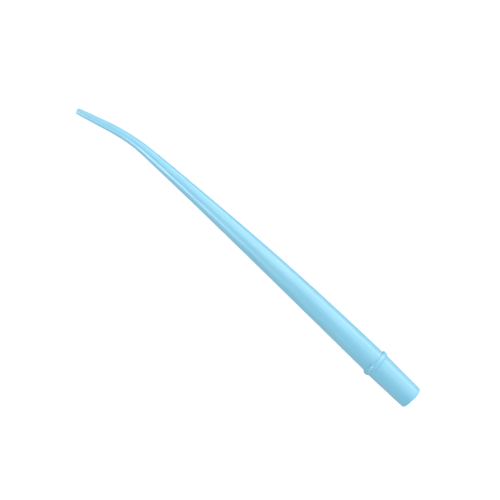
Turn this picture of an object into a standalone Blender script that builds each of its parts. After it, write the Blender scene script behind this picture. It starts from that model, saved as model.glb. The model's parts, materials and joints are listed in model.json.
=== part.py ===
"""A surgical suction tip for dental work: one tapering tube, in five named sections.

The real tip is a single plastic moulding, open from end to end. It is divided here where its job
changes: the connector that plugs into the suction valve, the stop collar that rests on the valve's
mouth, the long tapered barrel, the angled neck and the intake tip.

Each section is a turned ring of material. It is drawn straight, with its distance along the tube
on local Z, and a guide curve then bends it to the tube's centre line. An empty carries them all
and tilts them a little, because the tube is thick at one end and lies on a flat surface.

Frame: the tube lies on the plane Z = 0 and runs along X, connector towards +X and tip towards -X.
The neck turns the tip towards -Y. X = Y = 0 is the middle of the whole tube's outline.
"""

import math

import bpy
from mathutils import Vector

MM = 0.001

# Distances along the centre line, from the connector's open end.
COLLAR_REAR = 20.7 * MM
COLLAR_FRONT = 23.2 * MM
NECK_REAR = 157.0 * MM
NECK_FRONT = 178.0 * MM
LENGTH = 194.0 * MM

# The space between two neighbouring sections.
JOINT_GAP = 0.3 * MM

# The barrel curves very slightly along its whole length, and the neck turns the tip aside.
BARREL_TURN = math.radians(2.8)
NECK_TURN = math.radians(14.5)

# Outer and bore diameters, each a list of (distance, diameter) joined by a smooth curve.
CONNECTOR_OUTER = ((0.0, 10.8 * MM), (COLLAR_REAR, 11.55 * MM))
TUBE_OUTER = (
    (COLLAR_FRONT, 11.3 * MM),
    (54.0 * MM, 10.6 * MM),
    (89.0 * MM, 9.1 * MM),
    (124.0 * MM, 6.95 * MM),
    (NECK_REAR, 4.8 * MM),
    (166.0 * MM, 4.1 * MM),
    (NECK_FRONT, 3.7 * MM),
    (LENGTH, 2.7 * MM),
)
BORE = (
    (0.0, 8.5 * MM),
    (COLLAR_FRONT, 8.3 * MM),
    (54.0 * MM, 7.8 * MM),
    (89.0 * MM, 6.6 * MM),
    (124.0 * MM, 4.9 * MM),
    (NECK_REAR, 3.2 * MM),
    (NECK_FRONT, 2.3 * MM),
    (LENGTH, 1.6 * MM),
)

COLLAR_DIAMETER = 13.0 * MM
COLLAR_SQUARENESS = 3.0
REAR_EDGE_RADIUS = 0.7 * MM
TIP_EDGE_RADIUS = 0.4 * MM

SPIN_STEPS = 40
RING_PITCH = 7.0 * MM
GUIDE_PITCH = 1.0 * MM
MERGE_DISTANCE = 0.01 * MM

PLASTIC_BLUE = (0.27, 0.66, 0.87, 1.0)
SECTION_NAMES = ("valve_connector", "stop_collar", "tapered_barrel", "angled_neck", "intake_tip")


def clear_scene():
    for obj in list(bpy.data.objects):
        bpy.data.objects.remove(obj, do_unlink=True)


def new_collection(name):
    collection = bpy.data.collections.new(name)
    bpy.context.scene.collection.children.link(collection)
    return collection


def smooth_value(stations, distance):
    """The value at a distance, on a cubic curve through the stations that never overshoots them."""
    slopes = []
    for (d0, v0), (d1, v1) in zip(stations, stations[1:]):
        slopes.append((v1 - v0) / (d1 - d0))
    tangents = [slopes[0]]
    for before, after in zip(slopes, slopes[1:]):
        tangents.append(0.0 if before * after <= 0.0 else 2.0 * before * after / (before + after))
    tangents.append(slopes[-1])

    index = 0
    while index < len(slopes) - 1 and distance > stations[index + 1][0]:
        index += 1
    (d0, v0), (d1, v1) = stations[index], stations[index + 1]
    span = d1 - d0
    t = (distance - d0) / span
    return (
        (2 * t**3 - 3 * t**2 + 1) * v0
        + (t**3 - 2 * t**2 + t) * span * tangents[index]
        + (3 * t**2 - 2 * t**3) * v1
        + (t**3 - t**2) * span * tangents[index + 1]
    )


def outer_radius(distance):
    if distance <= COLLAR_REAR:
        return smooth_value(CONNECTOR_OUTER, distance) / 2
    if distance < COLLAR_FRONT:
        along = (distance - COLLAR_REAR) / (COLLAR_FRONT - COLLAR_REAR)
        return (CONNECTOR_OUTER[-1][1] * (1 - along) + TUBE_OUTER[0][1] * along) / 2
    return smooth_value(TUBE_OUTER, distance) / 2


def bore_radius(distance):
    return smooth_value(BORE, distance) / 2


def spread(start, end, pitch):
    """Distances from start to end, at most a pitch apart."""
    count = max(1, math.ceil((end - start) / pitch))
    return [start + (end - start) * i / count for i in range(count + 1)]


def bore_line(start, end, pitch):
    return [(bore_radius(d), d) for d in spread(start, end, pitch)]


def heading(distance):
    """How far the centre line has turned towards -Y at a distance from the connector's end."""
    barrel = (distance - COLLAR_FRONT) / (NECK_REAR - COLLAR_FRONT)
    neck = (distance - NECK_REAR) / (NECK_FRONT - NECK_REAR)
    return BARREL_TURN * min(max(barrel, 0.0), 1.0) + NECK_TURN * min(max(neck, 0.0), 1.0)


def centre_line():
    """Points along the tube's centre line in its own flat plane, from the connector's end at the origin."""
    distances = spread(0.0, LENGTH, GUIDE_PITCH)
    points = [Vector((0.0, 0.0, 0.0))]
    for d0, d1 in zip(distances, distances[1:]):
        turn = heading((d0 + d1) / 2)
        points.append(points[-1] + Vector((-math.cos(turn), -math.sin(turn), 0.0)) * (d1 - d0))
    return points


def make_guide(collection, parent):
    """The curve that the straight sections are bent along."""
    points = centre_line()
    data = bpy.data.curves.new("centre_line_guide", "CURVE")
    data.dimensions = "3D"
    spline = data.splines.new("POLY")
    spline.points.add(len(points) - 1)
    for target, point in zip(spline.points, points):
        target.co = (*point, 1.0)
    guide = bpy.data.objects.new("centre_line_guide", data)
    guide.hide_render = True
    guide.display_type = "WIRE"
    guide.parent = parent
    collection.objects.link(guide)
    return guide


def plastic(name):
    material = bpy.data.materials.new(name)
    material.use_nodes = True
    shader = material.node_tree.nodes["Principled BSDF"]
    shader.inputs["Base Color"].default_value = PLASTIC_BLUE
    shader.inputs["Roughness"].default_value = 0.35
    shader.inputs["Metallic"].default_value = 0.0
    return material


def make_section(name, outline, guide, collection, parent):
    """One ring-shaped section, turned from a closed outline of (radius, distance) points.

    The outline runs down the section's outer side, towards the connector's end, and back up its bore.
    """
    mesh = bpy.data.meshes.new(name)
    corners = [(radius, 0.0, distance) for radius, distance in outline]
    edges = [(i, (i + 1) % len(corners)) for i in range(len(corners))]
    mesh.from_pydata(corners, edges, [])
    section = bpy.data.objects.new(name, mesh)
    section.parent = parent
    section.data.materials.append(plastic(name))
    collection.objects.link(section)

    spin = section.modifiers.new("spin", "SCREW")
    spin.axis = "Z"
    spin.steps = SPIN_STEPS
    spin.render_steps = SPIN_STEPS
    spin.use_merge_vertices = True
    spin.merge_threshold = MERGE_DISTANCE
    spin.use_smooth_shade = True

    bend = section.modifiers.new("bend", "CURVE")
    bend.object = guide
    bend.deform_axis = "POS_Z"
    return section


def plain_outline(start, end, pitch):
    """A stretch of tube with square ends."""
    outer = [(outer_radius(d), d) for d in spread(start, end, pitch)]
    return outer[::-1] + bore_line(start, end, pitch)


def quarter_round(radius, centre_radius, centre_distance, towards, steps=5):
    """Points of a rounded outer edge, from the outer side round to the end face.

    towards is -1 for an edge at the connector's end and +1 for one at the tip's end.
    """
    points = []
    for i in range(steps + 1):
        angle = math.pi / 2 * i / steps
        points.append(
            (
                centre_radius + radius * math.cos(angle),
                centre_distance + towards * radius * math.sin(angle),
            )
        )
    return points


def connector_outline():
    """Plain outside that swells a little towards the collar, with its open end's outer edge rounded."""
    end = COLLAR_REAR - JOINT_GAP / 2
    edge = quarter_round(
        REAR_EDGE_RADIUS, outer_radius(REAR_EDGE_RADIUS) - REAR_EDGE_RADIUS, REAR_EDGE_RADIUS, -1
    )
    outer = [(outer_radius(d), d) for d in spread(REAR_EDGE_RADIUS, end, RING_PITCH)][1:]
    return outer[::-1] + edge + bore_line(0.0, end, RING_PITCH)


def bead_point(angle):
    """A point of the bead's section, running from 1 to -1 along the tube and up to 1 in height."""
    power = 2.0 / COLLAR_SQUARENESS
    along = math.copysign(abs(math.cos(angle)) ** power, math.cos(angle))
    return along, math.sin(angle) ** power


def collar_outline(steps=10):
    """A slice of the tube with a bead all round it, with rounded sides and a nearly flat top."""
    start = COLLAR_REAR + JOINT_GAP / 2
    end = COLLAR_FRONT - JOINT_GAP / 2
    centre = (start + end) / 2
    half_width = (end - start) / 2
    bead = []
    for i in range(steps + 1):
        along, up = bead_point(math.pi * i / steps)
        distance = centre + half_width * along
        foot = outer_radius(distance)
        bead.append((foot + (COLLAR_DIAMETER / 2 - foot) * up, distance))
    return bead + bore_line(start, end, end - start)


def barrel_outline():
    return plain_outline(COLLAR_FRONT + JOINT_GAP / 2, NECK_REAR - JOINT_GAP / 2, RING_PITCH)


def neck_outline():
    return plain_outline(NECK_REAR + JOINT_GAP / 2, NECK_FRONT - JOINT_GAP / 2, RING_PITCH / 3)


def tip_outline():
    """The straight front end, with its outer rim rounded so that it doesn't scratch."""
    start = NECK_FRONT + JOINT_GAP / 2
    shoulder = LENGTH - TIP_EDGE_RADIUS
    edge = quarter_round(TIP_EDGE_RADIUS, outer_radius(shoulder) - TIP_EDGE_RADIUS, shoulder, 1)
    outer = [(outer_radius(d), d) for d in spread(start, shoulder, RING_PITCH)][:-1]
    return edge[::-1] + outer[::-1] + bore_line(start, LENGTH, RING_PITCH)


def resting_tilt():
    """The pitch at which the collar's lowest point and the tube's underside touch one flat surface."""
    collar = (COLLAR_REAR + COLLAR_FRONT) / 2
    line = centre_line()
    distances = spread(0.0, LENGTH, GUIDE_PITCH)
    slopes = []
    for point, distance in zip(line, distances):
        reach = -point.x - collar
        if reach > COLLAR_FRONT:
            slopes.append((COLLAR_DIAMETER / 2 - outer_radius(distance)) / reach)
    return math.atan(min(slopes))


def make_carrier(collection):
    """The empty that lays the tube on Z = 0, with X = Y = 0 in the middle of its outline."""
    tilt = resting_tilt()
    tip = centre_line()[-1]
    tip_turn = heading(LENGTH)
    edge = TIP_EDGE_RADIUS
    rim_radius = outer_radius(LENGTH - edge) - edge
    rear_radius = outer_radius(REAR_EDGE_RADIUS) - REAR_EDGE_RADIUS
    collar = (COLLAR_REAR + COLLAR_FRONT) / 2
    low_x = (tip.x + edge * math.cos(tip_turn)) * math.cos(tilt) - rim_radius * math.sin(tip_turn) - edge
    high_x = rear_radius * math.sin(tilt)
    low_y = tip.y + edge * math.sin(tip_turn) - rim_radius * math.cos(tip_turn) - edge
    high_y = COLLAR_DIAMETER / 2
    carrier = bpy.data.objects.new("suction_tip", None)
    carrier.empty_display_size = 20.0 * MM
    carrier.rotation_euler = (0.0, -tilt, 0.0)
    carrier.location = (
        -(low_x + high_x) / 2,
        -(low_y + high_y) / 2,
        collar * math.sin(tilt) + COLLAR_DIAMETER / 2 * math.cos(tilt),
    )
    collection.objects.link(carrier)
    return carrier


def main():
    clear_scene()
    parts = new_collection("suction_tip")
    guides = new_collection("guides")
    carrier = make_carrier(parts)
    guide = make_guide(guides, carrier)
    outlines = (
        connector_outline(),
        collar_outline(),
        barrel_outline(),
        neck_outline(),
        tip_outline(),
    )
    for name, outline in zip(SECTION_NAMES, outlines):
        make_section(name, outline, guide, parts, carrier)


main()
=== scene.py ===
"""Looks of the suction tip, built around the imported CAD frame.

The tip is one moulding in light blue polypropylene. Each CAD section is replaced by a finer turned
piece on the same centre line and the same diameters. The pieces meet face to face, so the tube
reads as the single moulding that it is. They carry what the mould leaves on it: a faint parting
line along each side, rounded rims, small fillets beside the collar and draw marks along the tube.
"""

import json
import math

import bpy
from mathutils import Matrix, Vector


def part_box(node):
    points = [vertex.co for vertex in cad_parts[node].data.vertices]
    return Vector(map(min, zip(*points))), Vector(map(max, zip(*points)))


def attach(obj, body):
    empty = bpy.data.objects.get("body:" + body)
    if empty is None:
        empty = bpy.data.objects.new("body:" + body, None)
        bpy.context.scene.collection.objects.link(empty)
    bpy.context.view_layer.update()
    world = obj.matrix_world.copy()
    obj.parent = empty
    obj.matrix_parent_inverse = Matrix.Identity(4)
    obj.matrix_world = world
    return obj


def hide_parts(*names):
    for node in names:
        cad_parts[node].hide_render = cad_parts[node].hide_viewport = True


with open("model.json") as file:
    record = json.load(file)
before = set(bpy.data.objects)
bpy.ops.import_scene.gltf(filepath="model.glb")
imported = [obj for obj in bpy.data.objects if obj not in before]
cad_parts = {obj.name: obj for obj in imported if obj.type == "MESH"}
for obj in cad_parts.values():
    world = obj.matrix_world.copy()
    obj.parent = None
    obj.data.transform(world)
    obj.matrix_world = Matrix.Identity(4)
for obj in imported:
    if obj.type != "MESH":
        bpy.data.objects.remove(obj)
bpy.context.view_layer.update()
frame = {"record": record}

MM = 0.001

# Distances along the centre line, from the connector's open end, as in the CAD model.
COLLAR_REAR = 20.7 * MM
COLLAR_FRONT = 23.2 * MM
NECK_REAR = 157.0 * MM
NECK_FRONT = 178.0 * MM
LENGTH = 194.0 * MM
BARREL_TURN = math.radians(2.8)
NECK_TURN = math.radians(14.5)

CONNECTOR_OUTER = ((0.0, 10.8 * MM), (COLLAR_REAR, 11.55 * MM))
TUBE_OUTER = (
    (COLLAR_FRONT, 11.3 * MM),
    (54.0 * MM, 10.6 * MM),
    (89.0 * MM, 9.1 * MM),
    (124.0 * MM, 6.95 * MM),
    (NECK_REAR, 4.8 * MM),
    (166.0 * MM, 4.1 * MM),
    (NECK_FRONT, 3.7 * MM),
    (LENGTH, 2.7 * MM),
)
BORE = (
    (0.0, 8.5 * MM),
    (COLLAR_FRONT, 8.3 * MM),
    (54.0 * MM, 7.8 * MM),
    (89.0 * MM, 6.6 * MM),
    (124.0 * MM, 4.9 * MM),
    (NECK_REAR, 3.2 * MM),
    (NECK_FRONT, 2.3 * MM),
    (LENGTH, 1.6 * MM),
)
COLLAR_DIAMETER = 13.0 * MM
COLLAR_SQUARENESS = 3.0
REAR_EDGE_RADIUS = 0.7 * MM
TIP_EDGE_RADIUS = 0.4 * MM

# What the mould leaves on the part.
BORE_EDGE_RADIUS = 0.12 * MM
COLLAR_FILLET = 0.12 * MM
PARTING_HALF_WIDTH = 0.16 * MM
PARTING_HEIGHT = 0.035 * MM

# Fineness of the visible meshes. The rounding keeps a whole number of rings from gaining one more.
RING_PITCH = 1.0 * MM
ROUNDING = 1e-6
SIDE_COLUMNS = 48
PARTING_COLUMNS = 3
EDGE_STEPS = 8
BEAD_STEPS = 24
SHARP_ANGLE = math.radians(40.0)

# The surfaces of a section: its outer wall carries the parting lines, its rims don't.
WALL, RIM, INSIDE = "wall", "rim", "inside"

# The plastic: its pigment drifts between three blues along the flow of the melt.
PLASTIC_DEEP = (0.250, 0.640, 0.862, 1.0)
PLASTIC_BLUE = (0.272, 0.662, 0.870, 1.0)
PLASTIC_PALE = (0.296, 0.684, 0.878, 1.0)
PLASTIC_IOR = 1.49
PLASTIC_SPECULAR = 0.9
SATIN_ROUGHNESS = (0.29, 0.35)
BORE_ROUGHNESS = (0.22, 0.28)
FLOW_LENGTH = 24.0 * MM
FLOW_WIDTH = 4.0 * MM
STREAK_LENGTH = 9.0 * MM
STREAK_WIDTH = 0.5 * MM
STREAK_DEPTH = 0.003 * MM
GRAIN_SIZE = 0.2 * MM
GRAIN_DEPTH = 0.015 * MM
NOISE_RANGE = (0.3, 0.7)

# The camera hangs straight above the tube, and is turned so that the tube crosses its picture.
CAMERA_PLACE = (1.10 * MM, 0.52 * MM, 420.0 * MM)
CAMERA_TURN = math.radians(44.13)
CAMERA_LENS = 68.42
CAMERA_SENSOR = 36.0

# Softboxes round the table: name, bearing in the camera's picture (anticlockwise from its right-hand
# side) and elevation in degrees, width and height in metres, and brightness.
LIGHT_DISTANCE = 0.9
SOFTBOXES = (
    ("left_box", 199.0, 40.0, 0.27, 0.19, 20.0),
    ("left_fill", 190.0, 26.0, 1.00, 0.70, 0.95),
    ("right_box", 24.0, 40.0, 1.05, 0.75, 1.24),
    ("right_low_box", 54.0, 10.0, 1.20, 0.36, 3.8),
    ("rear_box", 308.0, 24.0, 0.45, 0.45, 3.8),
    ("back_box", 78.0, 50.0, 0.60, 0.50, 1.55),
    ("top_box", 60.0, 80.0, 0.90, 0.90, 0.56),
)

# The white set: the floor glows a little for the camera and bounces a dimmer grey on to the tube.
WHITE = (1.0, 1.0, 1.0, 1.0)
FLOOR_SIZE = 1.1
FLOOR_WHITE = (0.93, 0.93, 0.93, 1.0)
FLOOR_ROUGHNESS = 0.9
FLOOR_SPECULAR = 0.1
FLOOR_GLOW = 0.50
FLOOR_BOUNCE = (0.41, 0.41, 0.41, 1.0)
ROOM_LIGHT = 0.03


# ---------------------------------------------------------------- shape along the tube


def smooth_value(stations, distance):
    """The value at a distance, on a cubic curve through the stations that never overshoots them."""
    slopes = []
    for (d0, v0), (d1, v1) in zip(stations, stations[1:]):
        slopes.append((v1 - v0) / (d1 - d0))
    tangents = [slopes[0]]
    for before, after in zip(slopes, slopes[1:]):
        tangents.append(0.0 if before * after <= 0.0 else 2.0 * before * after / (before + after))
    tangents.append(slopes[-1])

    index = 0
    while index < len(slopes) - 1 and distance > stations[index + 1][0]:
        index += 1
    (d0, v0), (d1, v1) = stations[index], stations[index + 1]
    span = d1 - d0
    t = (distance - d0) / span
    return (
        (2 * t**3 - 3 * t**2 + 1) * v0
        + (t**3 - 2 * t**2 + t) * span * tangents[index]
        + (3 * t**2 - 2 * t**3) * v1
        + (t**3 - t**2) * span * tangents[index + 1]
    )


def outer_radius(distance):
    if distance <= COLLAR_REAR:
        return smooth_value(CONNECTOR_OUTER, distance) / 2
    if distance < COLLAR_FRONT:
        along = (distance - COLLAR_REAR) / (COLLAR_FRONT - COLLAR_REAR)
        return (CONNECTOR_OUTER[-1][1] * (1 - along) + TUBE_OUTER[0][1] * along) / 2
    return smooth_value(TUBE_OUTER, distance) / 2


def bore_radius(distance):
    return smooth_value(BORE, distance) / 2


def spread(start, end, pitch):
    """Distances from start to end, at most a pitch apart."""
    count = max(1, math.ceil((end - start) / pitch - ROUNDING))
    return [start + (end - start) * i / count for i in range(count + 1)]


def heading(distance):
    """How far the centre line has turned towards -Y at a distance from the connector's end."""
    barrel = (distance - COLLAR_FRONT) / (NECK_REAR - COLLAR_FRONT)
    neck = (distance - NECK_REAR) / (NECK_FRONT - NECK_REAR)
    return BARREL_TURN * min(max(barrel, 0.0), 1.0) + NECK_TURN * min(max(neck, 0.0), 1.0)


class CentreLine:
    """The tube's centre line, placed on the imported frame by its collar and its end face's direction."""

    STEP = 0.25 * MM

    def __init__(self):
        low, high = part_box("stop_collar")
        axis = Vector(frame["record"]["mounts"][0]["axis"]).normalized()
        self.side = Vector((0.0, 1.0, 0.0))
        self.up = axis.cross(self.side).normalized()
        self.back = axis
        self.points = [(0.0, 0.0)]
        count = round(LENGTH / self.STEP)
        for i in range(count):
            turn = heading((i + 0.5) * self.STEP)
            x, y = self.points[-1]
            self.points.append((x - math.cos(turn) * self.STEP, y - math.sin(turn) * self.STEP))
        collar = (COLLAR_REAR + COLLAR_FRONT) / 2
        self.start = (low + high) / 2 + axis * collar

    def at(self, distance):
        """The centre of the tube and its sideways direction at a distance."""
        place = distance / self.STEP
        index = min(int(place), len(self.points) - 2)
        share = place - index
        (x0, y0), (x1, y1) = self.points[index], self.points[index + 1]
        x, y = x0 + (x1 - x0) * share, y0 + (y1 - y0) * share
        turn = heading(distance)
        centre = self.start + self.back * x + self.side * y
        return centre, self.side * math.cos(turn) - self.back * math.sin(turn)


LINE = CentreLine()


def columns(radius):
    """Angles round the tube, with extra ones across each parting line. Angle 0 is the +Y side."""
    edge = PARTING_HALF_WIDTH / radius
    angles = []
    for side in (0.0, math.pi):
        for i in range(-PARTING_COLUMNS, PARTING_COLUMNS + 1):
            angles.append(side + edge * i / PARTING_COLUMNS)
        span = math.pi - 2 * edge
        for i in range(1, SIDE_COLUMNS):
            angles.append(side + edge + span * i / SIDE_COLUMNS)
    return angles


def parting_rise(radius, angle):
    """How far the parting line stands up from the wall at an angle."""
    away = abs(math.sin(angle)) * radius / PARTING_HALF_WIDTH
    if away >= 1.0:
        return 0.0
    return PARTING_HEIGHT * (0.5 + 0.5 * math.cos(math.pi * away))


# ---------------------------------------------------------------- pieces


def turned_piece(name, outline):
    """A closed ring of material from an outline of (distance, radius, surface) points."""
    verts = []
    straight = []
    inside = []
    for distance, radius, surface in outline:
        centre, sideways = LINE.at(distance)
        for angle in columns(radius):
            reach = radius + (parting_rise(radius, angle) if surface == WALL else 0.0)
            y, z = reach * math.cos(angle), reach * math.sin(angle)
            verts.append(centre + sideways * y + LINE.up * z)
            straight.append((distance, y, z))
            inside.append(1.0 if surface == INSIDE else 0.0)
    wide = len(verts) // len(outline)
    rows = len(outline)
    faces = []
    for i in range(rows):
        row, next_row = i * wide, (i + 1) % rows * wide
        for j in range(wide):
            k = (j + 1) % wide
            faces.append((row + j, row + k, next_row + k, next_row + j))
    mesh = bpy.data.meshes.new(name)
    mesh.from_pydata(verts, [], faces)
    place = mesh.attributes.new("straight", "FLOAT_VECTOR", "POINT")
    for item, value in zip(place.data, straight):
        item.vector = value
    bore = mesh.attributes.new("inside", "FLOAT", "POINT")
    for item, value in zip(bore.data, inside):
        item.value = value
    mesh.shade_smooth()
    mesh.set_sharp_from_angle(angle=SHARP_ANGLE)
    piece = bpy.data.objects.new(name, mesh)
    bpy.context.scene.collection.objects.link(piece)
    return piece


def arc(distance, radius, edge, start, end, surface):
    """Points of a rounded edge about a centre, as its angle goes from start to end, in degrees."""
    points = []
    for i in range(EDGE_STEPS + 1):
        angle = math.radians(start + (end - start) * i / EDGE_STEPS)
        points.append((distance + edge * math.sin(angle), radius + edge * math.cos(angle), surface))
    return points


def outer_wall(start, end):
    return [(d, outer_radius(d), WALL) for d in spread(start, end, RING_PITCH)]


def bore_wall(start, end):
    return [(d, bore_radius(d), INSIDE) for d in spread(start, end, RING_PITCH)]


def connector_outline():
    edge = REAR_EDGE_RADIUS
    lip = BORE_EDGE_RADIUS
    rim = arc(edge, outer_radius(edge) - edge, edge, 0, -90, RIM)
    mouth = arc(lip, bore_radius(lip) + lip, lip, -90, -180, RIM)
    return outer_wall(edge, COLLAR_REAR)[:0:-1] + rim + mouth + bore_wall(lip, COLLAR_REAR)[1:]


def bead_point(angle):
    """A point of the bead's section, running from 1 to -1 along the tube and up to 1 in height."""
    power = 2.0 / COLLAR_SQUARENESS
    along = math.copysign(abs(math.cos(angle)) ** power, math.cos(angle))
    return along, math.sin(angle) ** power


def collar_outline():
    """A bead with a flattened top that meets the tube in a small fillet on both sides."""
    fillet = COLLAR_FILLET
    centre = (COLLAR_REAR + COLLAR_FRONT) / 2
    half_width = (COLLAR_FRONT - COLLAR_REAR) / 2 - fillet
    front = arc(COLLAR_FRONT, outer_radius(COLLAR_FRONT) + fillet, fillet, -180, -90, WALL)
    rear = arc(COLLAR_REAR, outer_radius(COLLAR_REAR) + fillet, fillet, 90, 180, WALL)
    bead = []
    for i in range(1, BEAD_STEPS):
        along, up = bead_point(math.pi * i / BEAD_STEPS)
        distance = centre + half_width * along
        foot = outer_radius(distance) + fillet
        height = COLLAR_DIAMETER / 2 - PARTING_HEIGHT - foot
        bead.append((distance, foot + height * up, WALL))
    return front + bead + rear + bore_wall(COLLAR_REAR, COLLAR_FRONT)


def plain_outline(start, end):
    return outer_wall(start, end)[::-1] + bore_wall(start, end)


def tip_outline():
    edge = TIP_EDGE_RADIUS
    lip = BORE_EDGE_RADIUS
    shoulder = LENGTH - edge
    rim = arc(shoulder, outer_radius(shoulder) - edge, edge, 0, 90, RIM)
    mouth = arc(LENGTH - lip, bore_radius(LENGTH) + lip, lip, 90, 180, RIM)
    outer = outer_wall(NECK_FRONT, shoulder)[:-1]
    bore = bore_wall(NECK_FRONT, LENGTH - lip)[:-1]
    return mouth[::-1] + rim[::-1] + outer[::-1] + bore


# ---------------------------------------------------------------- materials


def node(tree, kind, **values):
    """A new node in a material or in the world, with its properties set."""
    made = tree.nodes.new(kind)
    for key, value in values.items():
        setattr(made, key, value)
    return made


def noise(tree, place, lengths, detail):
    """Noise whose features have the given lengths along the tube, across it and upwards."""
    stretch = node(tree, "ShaderNodeVectorMath", operation="DIVIDE")
    stretch.inputs[1].default_value = lengths
    tree.links.new(place, stretch.inputs[0])
    texture = node(tree, "ShaderNodeTexNoise")
    texture.inputs["Scale"].default_value = 1.0
    texture.inputs["Detail"].default_value = detail
    tree.links.new(stretch.outputs["Vector"], texture.inputs["Vector"])
    return texture.outputs["Fac"]


def pigment(tree, flow):
    """The blue at each point, from deep to pale."""
    ramp = node(tree, "ShaderNodeValToRGB")
    low, high = NOISE_RANGE
    ramp.color_ramp.elements[0].position = low
    ramp.color_ramp.elements[0].color = PLASTIC_DEEP
    ramp.color_ramp.elements[1].position = high
    ramp.color_ramp.elements[1].color = PLASTIC_PALE
    ramp.color_ramp.elements.new((low + high) / 2).color = PLASTIC_BLUE
    tree.links.new(flow, ramp.inputs["Fac"])
    return ramp.outputs["Color"]


def ranged(tree, value, limits):
    """The noise, turned into a value that stays between two limits."""
    remap = node(tree, "ShaderNodeMapRange")
    remap.inputs["From Min"].default_value, remap.inputs["From Max"].default_value = NOISE_RANGE
    remap.inputs["To Min"].default_value, remap.inputs["To Max"].default_value = limits
    tree.links.new(value, remap.inputs["Value"])
    return remap.outputs["Result"]


def mixed(tree, share, first, second):
    """The first value where the share is 0, and the second where it is 1."""
    mix = node(tree, "ShaderNodeMix")
    tree.links.new(share, mix.inputs["Factor"])
    tree.links.new(first, mix.inputs["A"])
    tree.links.new(second, mix.inputs["B"])
    return mix.outputs["Result"]


def bump(tree, height, depth):
    made = node(tree, "ShaderNodeBump")
    made.inputs["Distance"].default_value = depth
    tree.links.new(height, made.inputs["Height"])
    return made


def plastic():
    """Satin polypropylene: a fine eroded grain, draw marks along the tube and a polished bore."""
    material = bpy.data.materials.new("blue_polypropylene")
    material.use_nodes = True
    tree = material.node_tree
    shader = tree.nodes["Principled BSDF"]
    shader.inputs["IOR"].default_value = PLASTIC_IOR
    shader.inputs["Specular IOR Level"].default_value = PLASTIC_SPECULAR

    straight = node(tree, "ShaderNodeAttribute", attribute_name="straight").outputs["Vector"]
    inside = node(tree, "ShaderNodeAttribute", attribute_name="inside").outputs["Fac"]
    flow = noise(tree, straight, (FLOW_LENGTH, FLOW_WIDTH, FLOW_WIDTH), detail=3.0)
    streaks = noise(tree, straight, (STREAK_LENGTH, STREAK_WIDTH, STREAK_WIDTH), detail=2.0)
    grain = noise(tree, straight, (GRAIN_SIZE, GRAIN_SIZE, GRAIN_SIZE), detail=1.0)

    satin = ranged(tree, streaks, SATIN_ROUGHNESS)
    polished = ranged(tree, streaks, BORE_ROUGHNESS)
    marks = bump(tree, streaks, STREAK_DEPTH)
    relief = bump(tree, grain, GRAIN_DEPTH)
    tree.links.new(pigment(tree, flow), shader.inputs["Base Color"])
    tree.links.new(mixed(tree, inside, satin, polished), shader.inputs["Roughness"])
    tree.links.new(marks.outputs["Normal"], relief.inputs["Normal"])
    tree.links.new(relief.outputs["Normal"], shader.inputs["Normal"])
    return material


# ---------------------------------------------------------------- set


def build_floor():
    """A white floor that lights the tube's underside only a little, as in a product picture."""
    bpy.ops.mesh.primitive_plane_add(size=FLOOR_SIZE)
    floor = bpy.context.object
    floor.name = "floor"
    material = bpy.data.materials.new("floor_white")
    material.use_nodes = True
    tree = material.node_tree
    seen = tree.nodes["Principled BSDF"]
    seen.inputs["Base Color"].default_value = FLOOR_WHITE
    seen.inputs["Roughness"].default_value = FLOOR_ROUGHNESS
    seen.inputs["Specular IOR Level"].default_value = FLOOR_SPECULAR
    seen.inputs["Emission Color"].default_value = WHITE
    seen.inputs["Emission Strength"].default_value = FLOOR_GLOW
    dim = node(tree, "ShaderNodeBsdfDiffuse")
    dim.inputs["Color"].default_value = FLOOR_BOUNCE
    path = node(tree, "ShaderNodeLightPath")
    mix = node(tree, "ShaderNodeMixShader")
    tree.links.new(path.outputs["Is Camera Ray"], mix.inputs["Fac"])
    tree.links.new(dim.outputs["BSDF"], mix.inputs[1])
    tree.links.new(seen.outputs["BSDF"], mix.inputs[2])
    tree.links.new(mix.outputs["Shader"], tree.nodes["Material Output"].inputs["Surface"])
    floor.data.materials.append(material)


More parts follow.
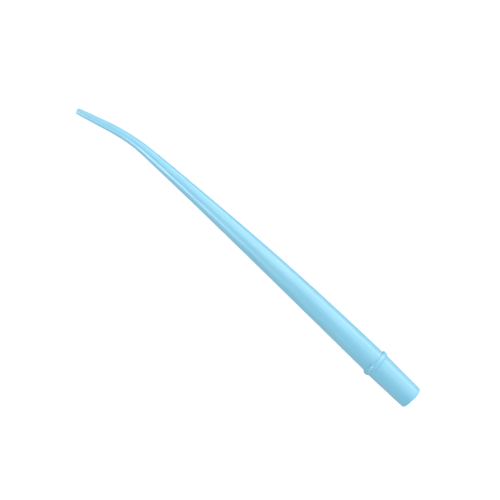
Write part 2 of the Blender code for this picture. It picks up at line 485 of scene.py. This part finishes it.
def build_softbox(name, bearing, elevation, width, height, brightness):
    """A rectangle of even light that faces the tube."""
    across = CAMERA_TURN + math.radians(bearing)
    up = math.radians(elevation)
    towards = Vector((math.cos(up) * math.cos(across), math.cos(up) * math.sin(across), math.sin(up)))
    data = bpy.data.lights.new(name, "AREA")
    data.shape = "RECTANGLE"
    data.size = width
    data.size_y = height
    data.energy = brightness * math.pi * width * height
    light = bpy.data.objects.new(name, data)
    light.location = towards * LIGHT_DISTANCE
    light.rotation_euler = (-towards).to_track_quat("-Z", "Y").to_euler()
    bpy.context.scene.collection.objects.link(light)


def build_room():
    """A dim white room that looks white behind the floor's edge."""
    world = bpy.data.worlds.new("room")
    bpy.context.scene.world = world
    world.use_nodes = True
    tree = world.node_tree
    dim = tree.nodes["Background"]
    dim.inputs["Color"].default_value = WHITE
    dim.inputs["Strength"].default_value = ROOM_LIGHT
    seen = node(tree, "ShaderNodeBackground")
    seen.inputs["Color"].default_value = WHITE
    path = node(tree, "ShaderNodeLightPath")
    mix = node(tree, "ShaderNodeMixShader")
    tree.links.new(path.outputs["Is Camera Ray"], mix.inputs["Fac"])
    tree.links.new(dim.outputs["Background"], mix.inputs[1])
    tree.links.new(seen.outputs["Background"], mix.inputs[2])
    tree.links.new(mix.outputs["Shader"], tree.nodes["World Output"].inputs["Surface"])


def build_camera():
    data = bpy.data.cameras.new("camera")
    data.sensor_width = CAMERA_SENSOR
    data.lens = CAMERA_LENS
    camera = bpy.data.objects.new("camera", data)
    camera.location = CAMERA_PLACE
    camera.rotation_euler = (0.0, 0.0, CAMERA_TURN)
    bpy.context.scene.collection.objects.link(camera)
    bpy.context.scene.camera = camera


# ---------------------------------------------------------------- assembly


def build_tube():
    blue = plastic()
    outlines = {
        "valve_connector": connector_outline(),
        "stop_collar": collar_outline(),
        "tapered_barrel": plain_outline(COLLAR_FRONT, NECK_REAR),
        "angled_neck": plain_outline(NECK_REAR, NECK_FRONT),
        "intake_tip": tip_outline(),
    }
    for section, outline in outlines.items():
        piece = turned_piece(section + "_moulding", outline)
        piece.data.materials.append(blue)
        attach(piece, "root")
        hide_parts(section)


build_camera()
build_floor()
build_room()
for softbox in SOFTBOXES:
    build_softbox(*softbox)
build_tube()
bpy.context.scene.view_settings.view_transform = "Standard"
